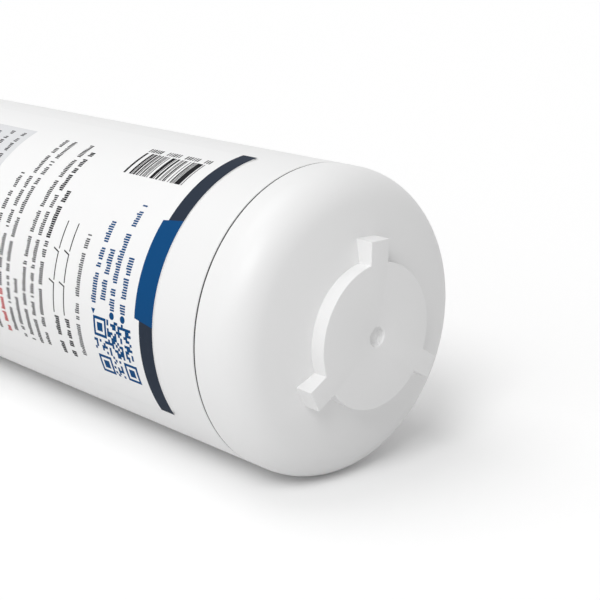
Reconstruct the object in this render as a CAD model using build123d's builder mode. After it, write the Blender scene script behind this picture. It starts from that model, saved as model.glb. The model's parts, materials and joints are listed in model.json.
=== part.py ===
"""Quick-change water filter cartridge, lying on its side.

A welded plastic shell (barrel, top cap with a bayonet neck, bottom cap with a drive pad) holds a wrapped
carbon block between two element caps. The cartridge axis runs along X with the drive pad towards +X.
The origin is on the surface that the cartridge lies on, under the middle of its length. Millimetres.
"""

import os
from math import pi, sqrt

from build123d import *

# Shell: an extruded barrel between two spin-welded domed caps
BODY_DIAMETER = 82.0
BARREL_LENGTH = 232.0
BARREL_WALL = 3.0
SEAM_BEVEL = 0.25
WELD_CLEARANCE = 0.1
TONGUE_LENGTH = 7.0
TONGUE_WALL = 2.2

# Dome of both caps: a short straight skirt, a knuckle and a shallow crown
CAP_SKIRT = 5.0
KNUCKLE_RADIUS = 11.0
CROWN_RADIUS = 126.0
DOME_WALL = 3.6
DOME_INNER_SLOPE = 5.0

# Drive pad on the bottom cap, which the spin welder and the hand grip
PAD_DIAMETER = 38.0
PAD_RISE = 2.7
PAD_ROOT = 0.5
PAD_EDGE = 0.35
LUG_COUNT = 3
LUG_START_ANGLE = 88.5
LUG_WIDTH = 6.2
LUG_REACH = 24.8
DIMPLE_DIAMETER = 5.0
DIMPLE_DEPTH = 1.6

# Support ribs inside the bottom cap
RIB_COUNT = 6
RIB_THICKNESS = 2.4
RIB_INNER_RADIUS = 6.0
RIB_LOCATOR_HEIGHT = 3.0
RIB_SEAT_DEPTH = 4.0

# Neck of the top cap, from the crown outwards
COLLAR_LENGTH = 15.0
COLLAR_STEP = 1.5
COLLAR_ROOT_SLOPE = 2.0
PILOT_LENGTH = 6.0
PILOT_STEP = 2.0
NECK_DIAMETER = 37.0
NECK_LENGTH = 12.0
NOSE_DIAMETER = 20.0
NOSE_LENGTH = 11.0
NECK_LEAD_IN = 0.8
OUTLET_DIAMETER = 9.0
INLET_COUNT = 6
INLET_DIAMETER = 4.0

# Bayonet lugs that lock the neck in a filter head
BAYONET_COUNT = 3
BAYONET_SPAN = 44.0
BAYONET_HEIGHT = 4.5
BAYONET_THICKNESS = 4.0
BAYONET_SETBACK = 3.0
BAYONET_EDGE = 0.8

# Seals: square-cut rubber rings in square grooves
SEAL_WIDTH = 2.6
SEAL_HEIGHT = 2.6
SEAL_EDGE = 0.6
SEAL_SQUEEZE = 0.6
SEAL_SIDE_PLAY = 0.3
SEAL_CLEARANCE = 0.05

# Filter element
FLOW_GAP = 2.2
ELEMENT_HEAD_DEPTH = 2.0
ELEMENT_PLATE = 3.0
ELEMENT_SKIRT_LENGTH = 7.0
ELEMENT_SKIRT_WALL = 1.5
ELEMENT_PLUG_LENGTH = 6.0
ELEMENT_EDGE = 0.6
ELEMENT_FIT = 0.1
SPIGOT_DIAMETER = 17.0
SPIGOT_CLEARANCE = 0.1
SOCKET_WALL = 2.2
SOCKET_BOSS_LENGTH = 6.0
SOCKET_DEPTH = 17.0
SOCKET_END_PLAY = 0.5
SPIGOT_SEAL_SETBACK = 4.0
BLOCK_BORE = 18.0
INNER_WRAP_WALL = 0.6
OUTER_WRAP_WALL = 0.9
NET_WALL = 0.9
NET_ROWS = 5
NET_COLUMNS = 10
NET_STRAND = 3.0

# Label on the barrel, measured from the top of the barrel towards the -Y side
LABEL_THICKNESS = 0.2
LABEL_ADHESIVE = 0.1
LABEL_MARGIN = 15.6
LABEL_START_ANGLE = 7.5
LABEL_SPAN = 115.0
LABEL_CORNER = 1.5

# Radii worked out from the sizes above
body_radius = BODY_DIAMETER / 2
bore_radius = body_radius - BARREL_WALL
tongue_outer_radius = bore_radius - WELD_CLEARANCE
tongue_inner_radius = tongue_outer_radius - TONGUE_WALL
nose_radius = NOSE_DIAMETER / 2
neck_radius = NECK_DIAMETER / 2
pilot_radius = neck_radius + PILOT_STEP
collar_radius = pilot_radius + COLLAR_STEP
bayonet_radius = collar_radius + BAYONET_HEIGHT
outlet_radius = OUTLET_DIAMETER / 2
spigot_radius = SPIGOT_DIAMETER / 2
socket_radius = spigot_radius + SPIGOT_CLEARANCE
boss_radius = socket_radius + SOCKET_WALL
groove_depth = SEAL_HEIGHT - SEAL_SQUEEZE
groove_width = SEAL_WIDTH + 2 * SEAL_SIDE_PLAY
inlet_circle_radius = (nose_radius + neck_radius - groove_depth) / 2

element_cap_radius = tongue_inner_radius - FLOW_GAP
net_outer_radius = element_cap_radius - ELEMENT_SKIRT_WALL - ELEMENT_FIT
net_inner_radius = net_outer_radius - NET_WALL
outer_wrap_radius = net_inner_radius - ELEMENT_FIT
block_radius = outer_wrap_radius - OUTER_WRAP_WALL - ELEMENT_FIT
block_bore_radius = BLOCK_BORE / 2
inner_wrap_radius = block_bore_radius - ELEMENT_FIT
plug_radius = inner_wrap_radius - INNER_WRAP_WALL - ELEMENT_FIT

# Dome stations, measured outwards from a cap's weld seam
crown_centre = CAP_SKIRT - sqrt(
    (CROWN_RADIUS - KNUCKLE_RADIUS) ** 2 - (body_radius - KNUCKLE_RADIUS) ** 2
)
crown_apex = crown_centre + CROWN_RADIUS
knuckle_share = CROWN_RADIUS / (CROWN_RADIUS - KNUCKLE_RADIUS)
knuckle_end = (
    crown_centre + (CAP_SKIRT - crown_centre) * knuckle_share,
    (body_radius - KNUCKLE_RADIUS) * knuckle_share,
)
inner_crown_radius = CROWN_RADIUS - DOME_WALL
inner_apex = crown_centre + inner_crown_radius


def crown_height(radius, arc_radius=CROWN_RADIUS):
    """Distance of a crown's surface from the seam, at a radius from the cartridge axis."""
    return crown_centre + sqrt(arc_radius**2 - radius**2)


inner_edge_radius = tongue_inner_radius - DOME_INNER_SLOPE
inner_crown_edge = (crown_height(inner_edge_radius, inner_crown_radius), inner_edge_radius)

# Stations along the neck, outwards from the top seam
collar_end = crown_apex + COLLAR_LENGTH
pilot_end = collar_end + PILOT_LENGTH
neck_end = pilot_end + NECK_LENGTH
nose_end = neck_end + NOSE_LENGTH
boss_foot = (crown_height(boss_radius, inner_crown_radius), boss_radius)
socket_mouth = boss_foot[0] - SOCKET_BOSS_LENGTH
socket_end = socket_mouth + SOCKET_DEPTH
pad_face = crown_apex + PAD_RISE

# Places along X
overall_length = nose_end + BARREL_LENGTH + pad_face
top_seam_x = nose_end - overall_length / 2
bottom_seam_x = top_seam_x + BARREL_LENGTH
element_start_x = top_seam_x - ELEMENT_HEAD_DEPTH
element_end_x = bottom_seam_x + RIB_SEAT_DEPTH
block_start_x = element_start_x + ELEMENT_PLATE
block_end_x = element_end_x - ELEMENT_PLATE
block_length = block_end_x - block_start_x

# Sections are drawn as (distance along the axis, radius); on the two caps the distance runs outwards
# from the weld seam, and on the pieces between them it runs towards the drive pad from a given place.
CARTRIDGE_AXIS = Axis((0, 0, body_radius), (1, 0, 0))


def section_from(x):
    """Plane of a section whose distances run along +X from a place on the axis."""
    return Plane((x, 0, body_radius), x_dir=(1, 0, 0), z_dir=(0, -1, 0))


def face_towards_pad(x):
    """Plane across the axis that faces the drive pad, with its Y up."""
    return Plane((x, 0, body_radius), x_dir=(0, 1, 0), z_dir=(1, 0, 0))


def face_towards_neck(x):
    """Plane across the axis that faces the neck, with its Y up."""
    return Plane((x, 0, body_radius), x_dir=(0, -1, 0), z_dir=(-1, 0, 0))


def turned(plane, count):
    """Copies of a section plane, spread evenly round the axis."""
    return [plane.rotated((360 / count * i, 0, 0)) for i in range(count)]


BOTTOM_SECTION = section_from(bottom_seam_x)
TOP_SECTION = Plane((top_seam_x, 0, body_radius), x_dir=(-1, 0, 0), z_dir=(0, 1, 0))

os.makedirs("parts", exist_ok=True)


def ring(outer_radius, inner_radius):
    """A ring in the current sketch."""
    Circle(outer_radius)
    Circle(inner_radius, mode=Mode.SUBTRACT)


def seal_section(place, height):
    """A seal's section in the current sketch: a square cut with its corners taken off."""
    with Locations(place):
        body = Rectangle(SEAL_WIDTH, height)
        chamfer(body.vertices(), SEAL_EDGE)


def dome_outside():
    """Outer line of a cap, from the bevel at the seam to the end of the knuckle."""
    Polyline((0, body_radius - SEAM_BEVEL), (SEAM_BEVEL, body_radius), (CAP_SKIRT, body_radius))
    return TangentArc((CAP_SKIRT, body_radius), knuckle_end, tangent=(1, 0))


def weld_tongue():
    """Inner line of a cap, from the edge of its inner crown round the tongue to the seam's bevel."""
    Polyline(
        inner_crown_edge,
        (inner_crown_edge[0] - DOME_INNER_SLOPE, tongue_inner_radius),
        (-TONGUE_LENGTH, tongue_inner_radius),
        (-TONGUE_LENGTH, tongue_outer_radius),
        (0, tongue_outer_radius),
        (0, body_radius - SEAM_BEVEL),
    )


# Barrel
with BuildPart() as barrel:
    with BuildSketch(face_towards_pad(top_seam_x)):
        ring(body_radius, bore_radius)
    extrude(amount=BARREL_LENGTH)
    rims = barrel.edges().filter_by(GeomType.CIRCLE).group_by(SortBy.RADIUS)[-1]
    chamfer(rims, SEAM_BEVEL)
barrel.part.label = "barrel"
export_step(barrel.part, "parts/barrel.step")

# Bottom cap: domed shell with its weld tongue, the drive pad outside and support ribs inside
rib_crown_radius = CROWN_RADIUS - DOME_WALL / 2
rib_top = RIB_SEAT_DEPTH - RIB_LOCATOR_HEIGHT
rib_step_radius = element_cap_radius + ELEMENT_FIT
rib_outer_radius = tongue_inner_radius + TONGUE_WALL / 2
pad_depth = pad_face - crown_height(LUG_REACH) + PAD_ROOT

with BuildPart() as bottom_cap:
    with BuildSketch(BOTTOM_SECTION):
        with BuildLine():
            knuckle = dome_outside()
            TangentArc(knuckle_end, (crown_apex, 0), tangent=knuckle % 1)
            Line((crown_apex, 0), (inner_apex, 0))
            RadiusArc((inner_apex, 0), inner_crown_edge, -inner_crown_radius)
            weld_tongue()
        make_face()
    revolve(axis=CARTRIDGE_AXIS)
    with BuildSketch(*turned(BOTTOM_SECTION, RIB_COUNT)):
        with BuildLine():
            rib_foot = (crown_height(RIB_INNER_RADIUS, rib_crown_radius), RIB_INNER_RADIUS)
            rib_shoulder = (crown_height(rib_outer_radius, inner_crown_radius), rib_outer_radius)
            Polyline(
                rib_shoulder,
                (rib_top, rib_outer_radius),
                (rib_top, rib_step_radius),
                (RIB_SEAT_DEPTH, rib_step_radius),
                (RIB_SEAT_DEPTH, RIB_INNER_RADIUS),
                rib_foot,
            )
            RadiusArc(rib_foot, rib_shoulder, -rib_crown_radius)
        make_face()
    extrude(amount=RIB_THICKNESS / 2, both=True)
    with BuildSketch(face_towards_pad(bottom_seam_x + pad_face)):
        Circle(PAD_DIAMETER / 2)
        with PolarLocations(LUG_REACH / 2, LUG_COUNT, start_angle=LUG_START_ANGLE):
            Rectangle(LUG_REACH, LUG_WIDTH)
    extrude(amount=-pad_depth)
    pad_outline = bottom_cap.faces().sort_by(Axis.X)[-1].outer_wire()
    chamfer(pad_outline.edges(), PAD_EDGE)
    with Locations(face_towards_pad(bottom_seam_x + pad_face)):
        Hole(DIMPLE_DIAMETER / 2, depth=DIMPLE_DEPTH)
bottom_cap.part.label = "bottom_cap"
export_step(bottom_cap.part, "parts/bottom_cap.step")

# Top cap: the same dome with a stepped neck, seal grooves, water ports and bayonet lugs
neck_groove = pilot_end + NECK_LENGTH / 2
nose_groove = neck_end + NOSE_LENGTH / 2
collar_root_radius = collar_radius + COLLAR_ROOT_SLOPE
collar_root = (crown_height(collar_root_radius), collar_root_radius)
bayonet_start = collar_end - BAYONET_SETBACK - BAYONET_THICKNESS
inlet_depth = neck_end - crown_height(inlet_circle_radius, inner_crown_radius) + DOME_WALL / 2

with BuildPart() as top_cap:
    with BuildSketch(TOP_SECTION):
        with BuildLine():
            knuckle = dome_outside()
            TangentArc(knuckle_end, collar_root, tangent=knuckle % 1)
            Polyline(
                collar_root,
                (collar_root[0] + COLLAR_ROOT_SLOPE, collar_radius),
                (collar_end, collar_radius),
                (collar_end, pilot_radius),
                (pilot_end, pilot_radius),
                (pilot_end, neck_radius),
                (neck_end - NECK_LEAD_IN, neck_radius),
                (neck_end, neck_radius - NECK_LEAD_IN),
                (neck_end, nose_radius),
                (nose_end - NECK_LEAD_IN, nose_radius),
                (nose_end, nose_radius - NECK_LEAD_IN),
                (nose_end, outlet_radius),
                (socket_end, outlet_radius),
                (socket_end, socket_radius),
                (socket_mouth, socket_radius),
                (socket_mouth, boss_radius),
                boss_foot,
            )
            RadiusArc(boss_foot, inner_crown_edge, -inner_crown_radius)
            weld_tongue()
        make_face()
    revolve(axis=CARTRIDGE_AXIS)
    with BuildSketch(*turned(TOP_SECTION.rotated((BAYONET_SPAN / 2, 0, 0)), BAYONET_COUNT)):
        with Locations((bayonet_start + BAYONET_THICKNESS / 2, (pilot_radius + bayonet_radius) / 2)):
            Rectangle(BAYONET_THICKNESS, bayonet_radius - pilot_radius)
    revolve(axis=CARTRIDGE_AXIS, revolution_arc=BAYONET_SPAN)
    lug_tips = (
        top_cap.faces()
        .filter_by(GeomType.CYLINDER)
        .filter_by(lambda face: abs(face.radius - bayonet_radius) < SEAL_CLEARANCE)
    )
    chamfer(lug_tips.edges(), BAYONET_EDGE)
    with BuildSketch(TOP_SECTION):
        for groove, land in ((neck_groove, neck_radius), (nose_groove, nose_radius)):
            with Locations((groove, land)):
                Rectangle(groove_width, 2 * groove_depth)
    revolve(axis=CARTRIDGE_AXIS, mode=Mode.SUBTRACT)
    with BuildSketch(face_towards_neck(top_seam_x - neck_end)):
        with PolarLocations(inlet_circle_radius, INLET_COUNT):
            Circle(INLET_DIAMETER / 2)
    extrude(amount=-inlet_depth, mode=Mode.SUBTRACT)
top_cap.part.label = "top_cap"
export_step(top_cap.part, "parts/top_cap.step")

# Seals on the neck and the nose, not yet squeezed and so proud of their lands
seal_lift = SEAL_CLEARANCE + SEAL_HEIGHT / 2 - groove_depth

with BuildPart() as neck_seal:
    with BuildSketch(TOP_SECTION):
        seal_section((neck_groove, neck_radius + seal_lift), SEAL_HEIGHT)
    revolve(axis=CARTRIDGE_AXIS)
neck_seal.part.label = "neck_seal"
export_step(neck_seal.part, "parts/neck_seal.step")

with BuildPart() as nose_seal:
    with BuildSketch(TOP_SECTION):
        seal_section((nose_groove, nose_radius + seal_lift), SEAL_HEIGHT)
    revolve(axis=CARTRIDGE_AXIS)
nose_seal.part.label = "nose_seal"
export_step(nose_seal.part, "parts/nose_seal.step")

# Element caps: a plate with a skirt round the net and a plug in the bore of the block
skirt_inner_radius = net_outer_radius + ELEMENT_FIT
spigot_end_x = top_seam_x - socket_end + SOCKET_END_PLAY
spigot_groove_x = spigot_end_x + SPIGOT_SEAL_SETBACK
spigot_length = block_start_x - spigot_end_x
spigot_root_radius = spigot_radius - groove_depth

with BuildPart() as element_top_cap:
    with BuildSketch(face_towards_neck(block_start_x)):
        Circle(element_cap_radius)
    extrude(amount=ELEMENT_PLATE)
    with BuildSketch(face_towards_pad(block_start_x)):
        ring(element_cap_radius, skirt_inner_radius)
    extrude(amount=ELEMENT_SKIRT_LENGTH)
    with BuildSketch(face_towards_pad(block_start_x)):
        Circle(plug_radius)
    extrude(amount=ELEMENT_PLUG_LENGTH)
    with BuildSketch(face_towards_neck(block_start_x)):
        Circle(spigot_radius)
    extrude(amount=spigot_length)
    chamfer(element_top_cap.faces().sort_by(Axis.X)[0].edges(), ELEMENT_EDGE)
    with BuildSketch(section_from(spigot_groove_x)):
        with Locations((0, spigot_radius)):
            Rectangle(groove_width, 2 * groove_depth)
    revolve(axis=CARTRIDGE_AXIS, mode=Mode.SUBTRACT)
    with Locations(face_towards_neck(spigot_end_x)):
        Hole(outlet_radius)
element_top_cap.part.label = "element_top_cap"
export_step(element_top_cap.part, "parts/element_top_cap.step")

with BuildPart() as element_bottom_cap:
    with BuildSketch(face_towards_pad(block_end_x)):
        Circle(element_cap_radius)
    extrude(amount=ELEMENT_PLATE)
    chamfer(element_bottom_cap.faces().sort_by(Axis.X)[-1].edges(), ELEMENT_EDGE)
    with BuildSketch(face_towards_neck(block_end_x)):
        ring(element_cap_radius, skirt_inner_radius)
    extrude(amount=ELEMENT_SKIRT_LENGTH)
    with BuildSketch(face_towards_neck(block_end_x)):
        Circle(plug_radius)
    extrude(amount=ELEMENT_PLUG_LENGTH)
element_bottom_cap.part.label = "element_bottom_cap"
export_step(element_bottom_cap.part, "parts/element_bottom_cap.step")

# Seal on the spigot, squeezed between its groove and the socket
squeezed_height = socket_radius - spigot_root_radius - 2 * SEAL_CLEARANCE

with BuildPart() as spigot_seal:
    with BuildSketch(section_from(spigot_groove_x)):
        seal_section((0, (socket_radius + spigot_root_radius) / 2), squeezed_height)
    revolve(axis=CARTRIDGE_AXIS)
spigot_seal.part.label = "spigot_seal"
export_step(spigot_seal.part, "parts/spigot_seal.step")

# Carbon block with its inner and outer wraps
with BuildPart() as carbon_block:
    with BuildSketch(face_towards_pad(block_start_x)):
        ring(block_radius, block_bore_radius)
    extrude(amount=block_length)
carbon_block.part.label = "carbon_block"
export_step(carbon_block.part, "parts/carbon_block.step")

with BuildPart() as inner_wrap:
    with BuildSketch(face_towards_pad(block_start_x)):
        ring(inner_wrap_radius, inner_wrap_radius - INNER_WRAP_WALL)
    extrude(amount=block_length)
inner_wrap.part.label = "inner_wrap"
export_step(inner_wrap.part, "parts/inner_wrap.step")

with BuildPart() as outer_wrap:
    with BuildSketch(face_towards_pad(block_start_x)):
        ring(outer_wrap_radius, outer_wrap_radius - OUTER_WRAP_WALL)
    extrude(amount=block_length)
outer_wrap.part.label = "outer_wrap"
export_step(outer_wrap.part, "parts/outer_wrap.step")

# Net round the element: a sleeve with staggered rows of diamond openings between crossing strands
net_pitch = block_length / (NET_ROWS + 1)
net_half_cell = pi * net_outer_radius / NET_COLUMNS
net_opening = [
    (net_pitch - NET_STRAND, 0),
    (0, net_half_cell - NET_STRAND),
    (NET_STRAND - net_pitch, 0),
    (0, NET_STRAND - net_half_cell),
]
net_face = Plane((block_start_x, 0, body_radius), x_dir=(1, 0, 0), z_dir=(0, 0, 1))
staggered_face = net_face.rotated((180 / NET_COLUMNS, 0, 0))
with BuildPart() as outer_net:
    with BuildSketch(face_towards_pad(block_start_x)):
        ring(net_outer_radius, net_inner_radius)
    extrude(amount=block_length)
    for first_row, face in ((1, net_face), (2, staggered_face)):
        with BuildSketch(*turned(face, NET_COLUMNS)):
            with Locations(*[(net_pitch * row, 0) for row in range(first_row, NET_ROWS + 1, 2)]):
                Polygon(*net_opening)
        extrude(amount=net_outer_radius + NET_WALL, mode=Mode.SUBTRACT)
outer_net.part.label = "outer_net"
export_step(outer_net.part, "parts/outer_net.step")

# Label: a printed film round part of the barrel
label_start_x = top_seam_x + LABEL_MARGIN
label_length = BARREL_LENGTH - 2 * LABEL_MARGIN
with BuildPart() as label:
    with BuildSketch(section_from(label_start_x).rotated((LABEL_START_ANGLE, 0, 0))):
        with Locations((label_length / 2, body_radius + LABEL_ADHESIVE + LABEL_THICKNESS / 2)):
            Rectangle(label_length, LABEL_THICKNESS)
    revolve(axis=CARTRIDGE_AXIS, revolution_arc=LABEL_SPAN)
    corners = label.edges().filter_by(GeomType.LINE).filter_by(
        lambda edge: edge.length < 2 * LABEL_THICKNESS
    )
    fillet(corners, LABEL_CORNER)
label.part.label = "label"
export_step(label.part, "parts/label.step")
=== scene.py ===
"""Looks of a quick-change water filter cartridge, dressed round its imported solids.

Everything is in metres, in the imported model's own frame. The cartridge lies along X on the floor at
Z = 0, its drive pad points to +X, and its label faces the -Y side.
"""

import json
import logging
import math
from collections.abc import Callable, Iterable, Mapping, Sequence
from dataclasses import asdict, dataclass
from enum import Enum
from functools import cache
from typing import Any

import bmesh
import bpy
from mathutils import Matrix, Vector

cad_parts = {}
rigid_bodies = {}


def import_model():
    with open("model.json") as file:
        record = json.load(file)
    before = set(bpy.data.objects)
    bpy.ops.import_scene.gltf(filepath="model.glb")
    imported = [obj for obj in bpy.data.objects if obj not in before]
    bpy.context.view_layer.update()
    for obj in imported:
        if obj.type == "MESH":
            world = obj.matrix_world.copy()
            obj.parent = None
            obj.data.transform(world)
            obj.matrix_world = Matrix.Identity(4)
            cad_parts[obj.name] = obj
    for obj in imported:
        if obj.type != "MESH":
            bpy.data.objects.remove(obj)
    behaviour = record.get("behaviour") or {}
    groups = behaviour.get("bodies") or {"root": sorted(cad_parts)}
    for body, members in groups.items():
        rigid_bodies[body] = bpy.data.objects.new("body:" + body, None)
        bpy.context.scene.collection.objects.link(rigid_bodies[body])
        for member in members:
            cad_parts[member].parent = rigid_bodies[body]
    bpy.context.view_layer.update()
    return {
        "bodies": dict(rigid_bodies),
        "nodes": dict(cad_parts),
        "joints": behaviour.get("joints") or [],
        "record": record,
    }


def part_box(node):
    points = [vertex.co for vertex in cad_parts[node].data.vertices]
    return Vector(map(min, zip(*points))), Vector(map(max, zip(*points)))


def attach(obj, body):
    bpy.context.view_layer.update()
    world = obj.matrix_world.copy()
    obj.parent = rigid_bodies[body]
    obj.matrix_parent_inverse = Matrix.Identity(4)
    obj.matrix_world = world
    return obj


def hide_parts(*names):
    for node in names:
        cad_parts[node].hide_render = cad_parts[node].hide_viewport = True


LOG = logging.getLogger("cartridge")

MM = 0.001
ROOT = "root"
IMAGE_PIXELS = 600
QUARTER = math.pi / 2
SMOOTH_ANGLE = math.radians(32)
SAME_PLACE = 0.005 * MM
ROUND_STEPS = 160
NOISE_MIDDLE = 0.5
UNBROKEN_RUN = 1e4

Point = tuple[float, float]
Shape = Sequence[Sequence[Point]]
Lines = tuple[tuple[float, float, float], ...]
Colour = tuple[float, float, float, float]
Stretch = tuple[float, float, float]
Sockets = dict[str, Any]
Settings = Mapping[str, Any] | None
Inputs = Mapping[str | int, Any] | None


class Slot(Enum):
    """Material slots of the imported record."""

    SHELL = "shell"
    LABEL_FILM = "label_film"


class Ink(Enum):
    """Printing inks of the label, as screen colours."""

    NAVY = "2E3643"
    BLUE = "124A7D"
    BLACK = "1E1E21"
    GREY = "4A4B4F"
    RED = "BE3033"
    PALE = "E0E1E3"


def linear_colour(code: str) -> Colour:
    """Turn a six-digit screen colour into a linear one, by the standard screen curve.

    Args:
        code: Red, green and blue as two hexadecimal digits each.

    Returns:
        The linear colour with full alpha.
    """
    shares = [part / 255 for part in bytes.fromhex(code)]
    red, green, blue = (s / 12.92 if s <= 0.04045 else ((s + 0.055) / 1.055) ** 2.4 for s in shares)
    return (red, green, blue, 1.0)


def grey(level: float) -> Colour:
    """A neutral colour of one level."""
    return (level, level, level, 1.0)


def toned(colour: Colour, factor: float) -> Colour:
    """Brighten or darken a colour by one factor."""
    return (colour[0] * factor, colour[1] * factor, colour[2] * factor, colour[3])


def math_operator(operation: str, swapped: bool = False) -> Callable[["Value", Any], "Value"]:
    """Make an operator that adds one Math node.

    Args:
        operation: The node's operation.
        swapped: Whether the wrapped value stands on the right, as in 1 - value.

    Returns:
        The method for the class of wrapped values.
    """

    def apply(value: "Value", other: Any) -> "Value":
        """Add the node for this value and the other one."""
        operands = (other, value) if swapped else (value, other)
        return value.worked(operation, *operands)

    return apply


class Value:
    """A node's output that arithmetic can be written with: each operation adds a Math node."""

    def __init__(self, graph: "Graph", socket: bpy.types.NodeSocket) -> None:
        """Keep the tree and the output socket that this value stands for."""
        self.graph = graph
        self.socket = socket

    def worked(self, operation: str, *operands: Any) -> "Value":
        """Add a Math node of one operation on the operands in order."""
        return self.graph.value("ShaderNodeMath", {"operation": operation}, dict(enumerate(operands)))

    __add__ = math_operator("ADD")
    __radd__ = math_operator("ADD", swapped=True)
    __sub__ = math_operator("SUBTRACT")
    __rsub__ = math_operator("SUBTRACT", swapped=True)
    __mul__ = math_operator("MULTIPLY")
    __rmul__ = math_operator("MULTIPLY", swapped=True)
    __truediv__ = math_operator("DIVIDE")
    __rtruediv__ = math_operator("DIVIDE", swapped=True)
    # The larger of two masks joins them.
    __or__ = math_operator("MAXIMUM")
    __ror__ = math_operator("MAXIMUM", swapped=True)
    # A comparison gives one where it holds and zero elsewhere.
    __gt__ = math_operator("GREATER_THAN")
    __lt__ = math_operator("LESS_THAN")

    def sine(self) -> "Value":
        """Sine of an angle in radians."""
        return self.worked("SINE", self)

    def cosine(self) -> "Value":
        """Cosine of an angle in radians."""
        return self.worked("COSINE", self)

    def floor(self) -> "Value":
        """The whole number below."""
        return self.worked("FLOOR", self)

    def absolute(self) -> "Value":
        """The value without its sign."""
        return self.worked("ABSOLUTE", self)


class Graph:
    """Adds nodes to a tree, for a material, for the world or for geometry."""

    def __init__(self, tree: bpy.types.NodeTree) -> None:
        """Keep the tree that nodes are added to."""
        self.tree = tree

    def node(self, kind: str, settings: Settings = None, inputs: Inputs = None) -> bpy.types.Node:
        """Add one node.

        Args:
            kind: The node's type name.
            settings: Properties to set first.
            inputs: Values or links of its sockets, by name or number.

        Returns:
            The new node.
        """
        node = self.tree.nodes.new(kind)
        for key, setting in (settings or {}).items():
            setattr(node, key, setting)
        for key, given in (inputs or {}).items():
            self.feed(node.inputs[key], given)
        return node

    def value(
        self, kind: str, settings: Settings = None, inputs: Inputs = None, output: str | int = 0
    ) -> Value:
        """Add one node and take its output of that name or number as a value."""
        return Value(self, self.node(kind, settings, inputs).outputs[output])

    def feed(self, socket: bpy.types.NodeSocket, given: Any) -> None:
        """Link an output to a socket, or set the socket's own number.

        Args:
            socket: The input socket.
            given: A wrapped value, an output socket or a plain number, colour or vector.
        """
        source = given.socket if isinstance(given, Value) else given
        if isinstance(source, bpy.types.NodeSocket):
            self.tree.links.new(source, socket)
        else:
            socket.default_value = source


class MaterialGraph(Graph):
    """A material's tree, with its surface shader and Object coordinates."""

    # A Mix node repeats its socket names for each kind of data, so its colour sockets go by number.
    MIX_SHARE, MIX_FIRST, MIX_SECOND, MIX_RESULT = 0, 6, 7, 2

    def __init__(self, name: str) -> None:
        """Start a material with a lone surface shader.

        Args:
            name: Name of the material.
        """
        self.material = bpy.data.materials.new(name)
        self.material.use_nodes = True
        super().__init__(self.material.node_tree)
        self.tree.nodes.clear()
        self.surface = self.node("ShaderNodeBsdfPrincipled")
        self.node("ShaderNodeOutputMaterial", {}, {"Surface": self.surface.outputs["BSDF"]})
        self.place = self.value("ShaderNodeTexCoord", output="Object")

    def noise(self, size: float, layers: float, stretch: Stretch = (1.0, 1.0, 1.0)) -> Value:
        """Noise with features of one size.

        Args:
            size: Width of a feature.
            layers: Number of finer layers.
            stretch: How much longer the features are along each axis.

        Returns:
            The noise, from 0 to 1 with its middle near 0.5.
        """
        scale = tuple(1 / share for share in stretch)
        place = self.value("ShaderNodeMapping", {}, {"Vector": self.place, "Scale": scale})
        inputs = {"Vector": place, "Scale": 1 / size, "Detail": layers}
        return self.value("ShaderNodeTexNoise", {}, inputs, "Fac")

    def cells(self, size: float) -> Value:
        """Distance to the middle of the nearest cell, for grains of one size."""
        return self.value("ShaderNodeTexVoronoi", {}, {"Vector": self.place, "Scale": 1 / size}, "Distance")

    def blend(self, share: Value, first: Colour, second: Colour) -> Value:
        """Mix two colours by the share of the second, which changes over the surface."""
        inputs = {self.MIX_SHARE: share, self.MIX_FIRST: first, self.MIX_SECOND: second}
        return self.value("ShaderNodeMix", {"data_type": "RGBA"}, inputs, self.MIX_RESULT)

    def mottled(self, colour: Colour, spread: float, noise: Value) -> Value:
        """A colour that loses up to a share of its brightness where the noise is low."""
        return self.blend(noise, toned(colour, 1 - spread), colour)

    @staticmethod
    def uneven(middle: float | Value, spread: float, noise: Value) -> Value:
        """A number that noise moves to both sides of its middle."""
        return middle + (noise - NOISE_MIDDLE) * spread

    def neutral(self, level: Value) -> Value:
        """A neutral colour of a level that changes."""
        return self.value("ShaderNodeCombineColor", {}, {0: level, 1: level, 2: level})

    def bump(self, height: Value, relief: "Relief") -> Value:
        """Surface relief of a given depth."""
        inputs = {"Height": height, "Distance": relief.depth, "Strength": relief.strength}
        return self.value("ShaderNodeBump", {}, inputs, "Normal")

    def dress(self, sockets: Sockets) -> bpy.types.Material:
        """Feed the surface shader.

        Args:
            sockets: Values or links by the name of their socket.

        Returns:
            The finished material.
        """
        for key, given in sockets.items():
            self.feed(self.surface.inputs[key], given)
        return self.material


@dataclass(frozen=True)
class Relief:
    """Fine relief of a surface: how wide and deep a feature is, and how strongly it shows."""

    size: float
    depth: float
    strength: float


@dataclass(frozen=True)
class Finish:
    """A surface finish with its main colour."""

    name: str
    colour: Colour

    def sockets(self, graph: MaterialGraph) -> Sockets:
        """What feeds the surface shader, which each kind of finish works out in its own way."""
        raise NotImplementedError

    def material(self) -> bpy.types.Material:
        """Build the material of this finish."""
        graph = MaterialGraph(self.name)
        return graph.dress(self.sockets(graph))


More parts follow.
